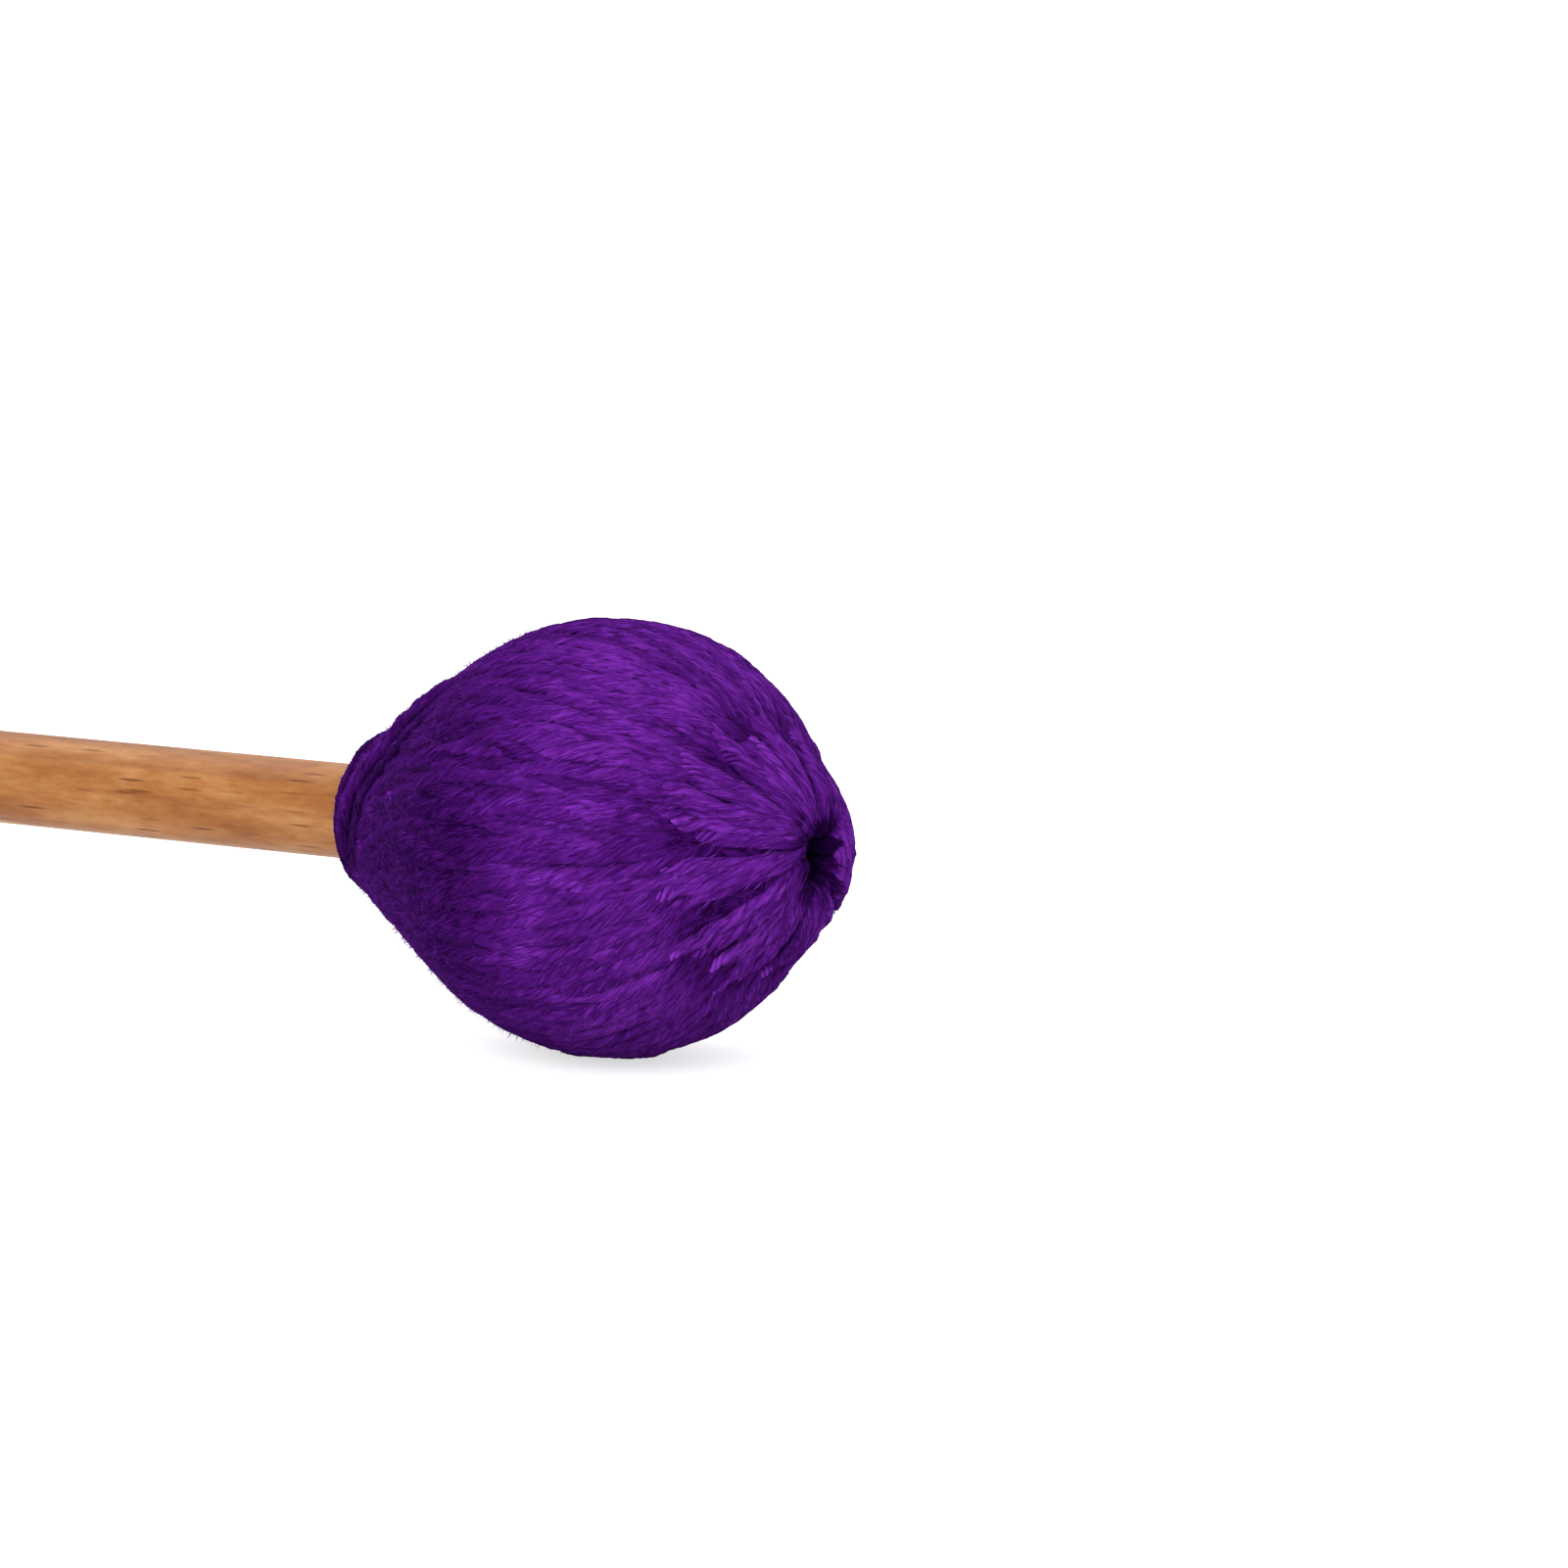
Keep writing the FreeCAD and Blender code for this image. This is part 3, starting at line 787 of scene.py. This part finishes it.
def wrap_layer(count, sink, every, pieces):
    """A layer of wraps, spread evenly round the head, as so many lots of cords. The sink is how
    deep its uppermost wrap lies. The wraps dip under the stitches and at the handle."""
    order = random.permutation(count) / count
    starts = (random.permutation(count) + random.uniform(-0.3, 0.3, count)) * 2 * math.pi / count
    crown_reach = random.uniform(3.4, 5.6, count) - 0.5 * (1 - stitched(starts))
    neck_reach = random.uniform(5.2, 7.2, count)
    runs, angles = half_wraps(crown_reach, neck_reach)
    lots = [Wires() for _ in range(pieces)]
    for k in range(count):
        length, run, angle = whole_wrap(runs[k], angles[k], starts[k], every)
        radius = radius_at(run)
        crown = run < BELLY_RUN
        under_stitches = np.where(crown, falling(radius, 13, 3), 0) * stitched(angle)
        at_lip = np.where(crown, 0, falling(radius, 9, 1.5))
        depth = sink + order[k] * (0.16 + 0.4 * under_stitches) + waver(length, 0.05, 9, 3)
        depth = depth + 0.65 * under_stitches + 0.6 * at_lip
        place, normal = on_head(run, angle, depth)
        width = STRAND_HALF_WIDTH * (1 + waver(length, 0.12, 13, 4)) * (1 - 0.2 * falling(radius, 9, 5))
        # Painted shade darkens the wraps where they lie under the stitches
        shade = shade_on_head(run, angle) - 0.28 * under_stitches
        lots[k % pieces].add(place, normal, width, random.uniform(9, 12), 0.09, shade)
    return lots


def make_winding():
    """Two layers of wraps. The upper one is drawn more finely, in three pieces."""
    below, = wrap_layer(WRAPS_BELOW, sink=0.9, every=4, pieces=1)
    below.piece("outer_winding_below", YARN, "yarn", "outer_winding")
    above = wrap_layer(WRAPS_ABOVE, sink=0.5, every=2, pieces=3)
    return [
        lot.piece("outer_winding_%d" % (i + 1), YARN, "yarn", "outer_winding")
        for i, lot in enumerate(above)
    ]


# The pile under it, and the rings of its hole: how deep each lies in it, and its radius
PILE_DEPTH = 1.25
HOLE = ((7.5, 0.01), (7.2, 1.8), (6.5, 2.5), (3.0, 2.9), (1.0, 3.1), (0.2, 3.4))
MOUTH_RADIUS = 3.6


def make_under_winding():
    """The pile below, closed at the crown by the bottom of the hole."""
    outline = OUTLINE - OUTLINE_NORMALS * PILE_DEPTH
    outline = outline[outline[:, 1] > MOUTH_RADIUS]
    mouth_x, neck_x = outline[0, 0], outline[-1, 0]
    hole = [(mouth_x - drop, radius) for drop, radius in HOLE]
    end = [(neck_x + 0.4, HANDLE_RADIUS + 0.12), (neck_x + 2.0, HANDLE_RADIUS + 0.1)]
    places, faces = lathe(np.vstack([hole, outline, end]), 160)
    make_piece("under_yarn", places, faces, under_material(), ["under_winding"])


# Where each crown stitch ends, how far out along the outline, and where it leaves the hole's
# rim: angles in degrees round the axis, and millimetres from the outline's start
CROWN_STITCHES = (
    (84, 15.6, 112), (104, 10.7, 122), (116, 15.1, 130), (136, 15.0, 142), (151, 15.9, 150), (164, 14.2, 148),
    (184, 13.6, 176), (196, 14.3, 166), (222, 15.0, 192), (227, 8.2, 212), (241, 12.2, 226), (254, 14.9, 236),
    (276, 11.6, 262), (298, 15.2, 286), (326, 9.5, 312), (43, 9.0, 50), (62, 14.2, 78), (10, 6.6, 336),
    (352, 7.4, 20),
)

# Points of a stitch on the hole's wall and round its rim, and the length of its finer end
WALL_POINTS, BEND_POINTS = 12, 8
STITCH_END = 3.0


def up_the_hole(start, angle, turn):
    """A stitch's way up the hole's wall and round its rim to where it starts over the runs. The
    normals look into the hole first and then out of it."""
    x, radius = start[0], math.hypot(start[1], start[2])
    drop = np.linspace(5.0, 0.3, WALL_POINTS)
    bend = np.linspace(math.pi / 2, 0, BEND_POINTS + 1)[:-1]
    along = np.concatenate([x - turn - drop, x - turn + turn * np.cos(bend)])
    reach = np.concatenate([np.full(WALL_POINTS, radius - turn), radius - turn * np.sin(bend)])
    normal_along = np.concatenate([np.zeros(WALL_POINTS), np.cos(bend)])
    normal_reach = np.concatenate([np.full(WALL_POINTS, -1.0), -np.sin(bend)])
    around = np.array([math.cos(angle), math.sin(angle)])
    place = np.column_stack([along, reach[:, None] * around])
    normal = np.column_stack([normal_along, normal_reach[:, None] * around])
    return place, normal


def straight_over(first, last, inner, outer, share):
    """The angles along a stitch that looks straight from the crown, between its ends' runs and
    angles."""
    near, far = (1 - share) * radius_at(first), share * radius_at(last)
    y = near * np.cos(inner) + far * np.cos(outer)
    z = near * np.sin(inner) + far * np.sin(outer)
    return np.arctan2(z, y)


def make_crown_stitches():
    """Each stitch is two strands side by side. They come up out of the hole, turn over its rim,
    go straight out over the runs and dive in between them, where their ends show their plies."""
    wires = Wires()
    for end_angle, end_run, rim_angle in CROWN_STITCHES:
        for side in (-0.5, 0.5):
            rim = random.uniform(1.4, 2.3) + 0.7 * abs(math.sin(math.radians(rim_angle)))
            turn = random.uniform(0.5, 1.3)
            first = run_at(rim + turn, True)
            last = end_run * (1 - random.uniform(0.01, 0.28) * (side > 0))
            # How much painted highlight the stitch's plied end gets; only ends with some of it show their
            # plies
            bright = random.choice([0.5, 1.2] if side < 0 else [0.0, 0.4])
            fine = last - STITCH_END
            run = np.concatenate([np.arange(first, fine, 0.3), np.arange(fine, last, 0.1)])
            share = (run - first) / (last - first)
            inner = np.radians(rim_angle) + side * 0.62 / 4.6
            outer = np.radians(end_angle) + side * 1.15 / radius_at(last)
            angle = straight_over(first, last, inner, outer, share) + waver(run, 0.02, 7, 3)
            depth = 0.62 - 0.14 * np.sin(share * math.pi) + random.uniform(0, 0.22) + waver(run, 0.08, 6, 2)
            depth = depth + 1.9 * rising(run - last, -1.1, 1.1) ** 2
            over, normal = on_head(run, angle, depth)
            lower, lower_normal = up_the_hole(over[0], angle[0], turn)
            plied = rising(run - last, -2.8, 0.8) * (bright > 0)
            plied = np.concatenate([np.zeros(len(lower)), plied])
            # Painted shade: the strand is dark on the hole's wall and round the rim, and dims over the first
            # millimetre or so outside it
            dim = random.uniform(0.15, 0.6)
            at_rim = 0.09 - dim * np.exp((first - run) / 0.9)
            on_wall, on_bend = (-1.2, -0.8, WALL_POINTS), (-0.7, at_rim[0], BEND_POINTS)
            shade = np.concatenate([np.linspace(*on_wall), np.linspace(*on_bend), at_rim])
            wires.add(
                np.vstack([lower, over]),
                np.vstack([lower_normal, normal]),
                0.64 - 0.12 * plied + waver(np.arange(len(plied)) * 0.3, 0.1, 9, 3),
                pitch=10.0 - 7.4 * plied,
                groove=0.1 + 0.22 * plied,
                shade=shade + 0.42 * bright * plied,
                fur=1.0 - 0.9 * plied,
            )
    return wires.piece("crown_stitch_yarn", YARN, "yarn", "crown_stitches", sides=4, flatness=0.8)


# The tail of the finishing turns and the deep turn beside it: angle in degrees and radius
TAIL = (
    (200, 7.2), (182, 7.6), (166, 8.2), (156, 8.8), (150, 9.7), (144, 10.6), (137, 11.2), (131, 12.0),
    (129, 13.1), (127, 14.1), (123, 15.0), (116, 16.0),
)
DEEP_TURN = (
    (212, 8.2), (194, 8.8), (180, 9.3), (166, 9.8), (158, 10.4), (152, 11.2), (149, 12.0), (145, 12.7),
    (139, 13.1), (136, 14.0), (132, 15.0),
)

# About how far it is from one point of a turn to the next
TURN_STEP = 0.4


def neck_path(table):
    """A smooth path over the neck through the points of a table, as angles and radii."""
    degrees, radii = np.array(table, float).T
    at = np.linspace(0, len(table) - 1, 12 * len(table))
    even = np.ones(9) / 9
    angle, radius = (
        np.convolve(np.pad(np.interp(at, np.arange(len(table)), values), 4, "edge"), even, "valid")
        for values in (np.radians(degrees), radii)
    )
    return angle, radius


def make_neck_wraps():
    """The finishing turns of yarn round the handle, the tail that runs out over the head and the
    deep turn beside it. Gives the points along the last two as well, which the felt keeps off."""
    wires = Wires()
    turns = np.radians(np.arange(-520, 200, 5.0))
    radius = 5.2 + 1.9 * (turns - turns[0]) / (turns[-1] - turns[0])
    tail_angle, tail_radius = neck_path(TAIL)
    angle = np.concatenate([turns, tail_angle])
    reach = np.concatenate([radius, tail_radius])
    raised = np.concatenate([np.zeros(len(turns)), falling(tail_angle, 3.5, 0.6)])
    run = np.array([run_at(r, False) for r in reach])
    order = np.arange(len(reach))
    length = order * TURN_STEP
    depth = 0.25 - 0.6 * raised + waver(length, 0.1, 25, 6)
    depth = depth + 1.9 * rising(order - len(reach), -26, 26) ** 2
    place, normal = on_head(run, angle, depth)
    width = 0.6 + waver(length, 0.08, 9, 3)
    # Painted shade darkens the finishing turns, and painted light lifts the raised tail
    wires.add(place, normal, width, pitch=8.0, groove=0.05, shade=-0.34 + 0.22 * raised)
    tail = place[-len(tail_angle):-14]

    angle, reach = neck_path(DEEP_TURN)
    run = np.array([run_at(r, False) for r in reach])
    deep, normal = on_head(run, angle, 0.3 + 0.5 * np.linspace(-1, 1, len(run)) ** 4)
    # The deep turn lies in the groove beside the tail, painted dark as painted shade
    wires.add(deep, normal, 0.6, pitch=8.0, shade=-0.6)
    piece = wires.piece("neck_wraps", YARN, "yarn", "neck_lashing", sides=4, flatness=0.85)
    return piece, np.vstack([tail, deep[10:-10]])


# The neck's stitches: the radius and the angle of each, and how much painted highlight it gets
NECK_STITCHES = (
    (13.3, 163, 0.25), (9.7, 187, 0.1), (14.5, 204, 0.1), (11.8, 141, 0.3), (9.4, 228, 0.0), (12.6, 256, 0.1),
    (9.8, 291, 0.0), (12.0, 322, 0.1), (10.2, 352, 0.0), (13.0, 25, 0.1), (9.8, 60, 0.0), (11.6, 98, 0.1),
)
NECK_STITCH_HALF = 1.6


def make_neck_stitches():
    """Short stitches over the turns at the neck, most of each hidden in the felted yarn."""
    wires = Wires()
    for reach, degrees, bright in NECK_STITCHES:
        middle = run_at(reach, False)
        run = np.arange(middle - NECK_STITCH_HALF, middle + NECK_STITCH_HALF, 0.2)
        share = np.linspace(-1, 1, len(run))
        angle = math.radians(degrees) + random.uniform(-0.6, 0.6) * share * 1.2 / reach
        place, normal = on_head(run, angle, 0.3 + 1.1 * np.abs(share) ** 3)
        # The stitch's shade is its painted highlight, set a little below the yarn's tone
        wires.add(place, normal, 0.5, pitch=4.0, groove=0.2, shade=bright - 0.1, fur=0.6)
    return wires.piece("neck_stitch_yarn", YARN, "yarn", "neck_stitches", sides=4, flatness=0.8)


# Loose fibres and felt

def grow_fibres(name, base, seed, density, lengths, slant=0.0, facing=0.2, **look):
    """Loose fibres on a mesh: how many in a square metre, and their least and greatest length in
    metres. Thickness and bow are shares of the length, and spread, lift and slant are angles.
    Only faces that look out by more than the facing bear any."""
    grow(
        name,
        base,
        LOOSE_FIBRES,
        "yarn",
        fibres_in_a_square_metre=density,
        seed=seed,
        least_length=lengths[0],
        greatest_length=lengths[1],
        slant=slant,
        facing=facing,
        material=LOOSE,
        **look,
    )


def make_fibres(winding, stitches, wraps):
    """Short fibres along the yarn everywhere, and in all directions at the neck."""
    for i, piece in enumerate(winding):
        grow_fibres(
            "fibres_on_winding_%d" % (i + 1), piece.data, 3 + i, 2.3e6, (0.0008, 0.0024),
            thickness=0.065, bow=0.07, spread=0.24, lift=0.04, slant=0.42,
        )
    grow_fibres(
        "fibres_on_crown", stitches.data, 20, 4.0e6, (0.0008, 0.0024),
        thickness=0.065, bow=0.06, spread=0.3, lift=0.05, slant=0.35,
    )
    grow_fibres(
        "fibres_on_neck", wraps.data, 21, 14.0e6, (0.0006, 0.0017),
        thickness=0.06, bow=0.1, spread=1.5, lift=0.25,
    )


def distance_to(points, places):
    """How far each place lies from the nearest of the points, found in lots to spare memory."""
    return np.concatenate([
        np.linalg.norm(lot[:, None] - points[None], axis=2).min(1)
        for lot in np.array_split(places, 20)
    ])


def felt_base(name, depth, tail, around, step, lighter=0.0):
    """The neck's half of the head as a base for felt, which leaves the tail and its groove bare.
    It carries painted shade, and painted light as much as lighter gives.
    """
    run = np.arange(BELLY_RUN - 4, FULL_RUN - 0.3, step)
    rings = len(run)
    angle = np.tile(np.arange(around) * 2 * math.pi / around, rings)
    run = run.repeat(around)
    share = rising(run - BELLY_RUN, -4, 12)
    places, out = on_head(run, angle, depth + 0.9 * (1 - share))
    apart = distance_to(tail, places)
    bare = 1 - rising(apart, 0.5, 0.6)
    places = places - out * (0.4 * bare)[:, None]
    across = np.hypot(out[:, 1], out[:, 2])
    way = np.stack([-across, out[:, 0] * np.cos(angle), out[:, 0] * np.sin(angle)], -1)
    mesh = bpy.data.meshes.new(name + "_base")
    mesh.from_pydata(places / 1000, [], ring_faces(rings, around))
    carry(mesh, "out", out)
    carry(mesh, "way", way)
    carry(mesh, "fur", share * (1 - bare))
    # Painted shade darkens the felt beside the tail's groove; lighter adds painted light
    carry(mesh, "shade", shade_on_head(run, angle) + lighter - 0.2 * falling(apart, 2.2, 1.4))
    return mesh


def make_neck_felt(tail):
    """The felt over the neck's half, its fibres in every direction, and some that stand off it."""
    grow(
        "neck_felt", felt_base("neck_felt", 0.12, tail, 200, 0.3), FELTED_SKIN, "yarn",
        lumps_in_a_metre=1100.0, unevenness=0.001, material=felt_material(),
    )
    grow_fibres(
        "neck_fibres", felt_base("neck_fibres", 0.1, tail, 72, 0.5), 31, 6.0e6, (0.0006, 0.0016),
        thickness=0.07, bow=0.08, spread=2.2, lift=0.12, facing=-2.0,
    )
    # The fuzz is painted lighter, as painted light on fibres that stand off the felt
    grow_fibres(
        "neck_fuzz", felt_base("neck_fuzz", 0.1, tail, 72, 0.5, lighter=0.26), 32, 4.0e6, (0.0008, 0.0022),
        thickness=0.024, bow=-0.2, spread=2.4, lift=0.95, facing=-2.0,
    )


# The handle, and the nodes that the yarn hides

BUTT_EDGE, TIP_EDGE = 1.1, 0.8


def make_handle():
    """The dowel, its butt rounded over."""
    bend = np.linspace(math.pi / 2, 0, 9)
    edge = [
        (BUTT_EDGE - BUTT_EDGE * math.sin(t), HANDLE_RADIUS - BUTT_EDGE + BUTT_EDGE * math.cos(t))
        for t in bend
    ]
    length = [(x, HANDLE_RADIUS) for x in np.linspace(BUTT_EDGE, TIP_X - TIP_EDGE, 90)[1:]]
    tip = [(TIP_X, HANDLE_RADIUS - TIP_EDGE), (TIP_X, 0.01)]
    places, faces = lathe([(0.0, 0.01), (0.0, 1.5)] + edge + length + tip, 96)
    make_piece("handle_dowel", places, faces, wood_material(), ["handle"])


def dress_hidden_nodes():
    """The core and its glue keep their CAD shapes and get their materials."""
    rubber = plain_material("core_rubber", linear(40, 40, 42), linear(62, 62, 64), 0.8, 300.0)
    glue = plain_material("glue", linear(196, 178, 128), linear(214, 198, 150), 0.35, 200.0)
    for node, material in (("core", rubber), ("core_glue", glue)):
        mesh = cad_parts[node].data
        mesh.materials.clear()
        mesh.materials.append(material)


# The studio: a pale floor that the belly and the butt rest on, white all round, and two large
# soft lights

def background_rays(tree):
    """A mask of the rays that show the background: seen straight, in gloss or through glass."""
    path = tree.add("ShaderNodeLightPath").outputs
    straight = tree.math("MAXIMUM", path["Is Camera Ray"], path["Is Glossy Ray"])
    return tree.math("MAXIMUM", straight, path["Is Transmission Ray"])


def make_floor():
    """The floor slopes a little, because the mallet lies on its butt's edge and its belly."""
    butt_touch, gap = 0.9, 0.0002
    run = BELLY_X - butt_touch
    rise = NECK_BELLY_ARC - HEAD_RADIUS + HANDLE_RADIUS
    slope = math.atan2(rise, run) - math.asin(NECK_BELLY_ARC / math.hypot(run, rise))
    low = -HANDLE_RADIUS / 1000 - gap
    size, shift = 6.0, 0.2
    corners = [(x * size + shift, y * size) for x, y in ((-1, -1), (1, -1), (1, 1), (-1, 1))]
    mesh = bpy.data.meshes.new("floor")
    mesh.from_pydata([(x, y, low + x * math.tan(slope)) for x, y in corners], [], [(0, 1, 2, 3)])
    floor = new_object("floor", mesh)
    material, tree, shader = new_material("pale_floor")
    seen = background_rays(tree)
    tree.links.new(tree.mix(seen, (0.8, 0.8, 0.8, 1), (0.9, 0.9, 0.9, 1)), shader["Base Color"])
    shader["Emission Color"].default_value = (1, 1, 1, 1)
    tree.links.new(tree.math("MULTIPLY", seen, 0.62), shader["Emission Strength"])
    shader["Roughness"].default_value = 0.9
    shader["Specular IOR Level"].default_value = 0.1
    mesh.materials.append(material)


def make_sky():
    """White all round, a little brighter where it is seen than where it gives light."""
    world = bpy.data.worlds.new("studio")
    bpy.context.scene.world = world
    world.use_nodes = True
    sky = Tree(world.node_tree)
    background = sky.nodes["Background"].inputs
    background["Color"].default_value = (1, 1, 1, 1)
    sky.links.new(sky.math("MULTIPLY_ADD", background_rays(sky), 0.24, 0.76), background["Strength"])


def soft_light(name, place, power, size):
    """A square lamp that shines on the belly."""
    data = bpy.data.lights.new(name, "AREA")
    data.energy, data.size = power, size
    light = new_object(name, data)
    light.location = place
    point_at(light, BELLY)


make_handle()
make_under_winding()
winding = make_winding()
stitches = make_crown_stitches()
neck_wraps, tail = make_neck_wraps()
make_neck_stitches()
make_fibres(winding, stitches, neck_wraps)
make_neck_felt(tail)
dress_hidden_nodes()
make_floor()
make_sky()
soft_light("key", (0.7, -0.95, 0.45), 6.3, 0.7)
soft_light("top", (-0.25, 0.25, 1.05), 6.2, 1.0)
bpy.context.scene.view_settings.view_transform = "Standard"
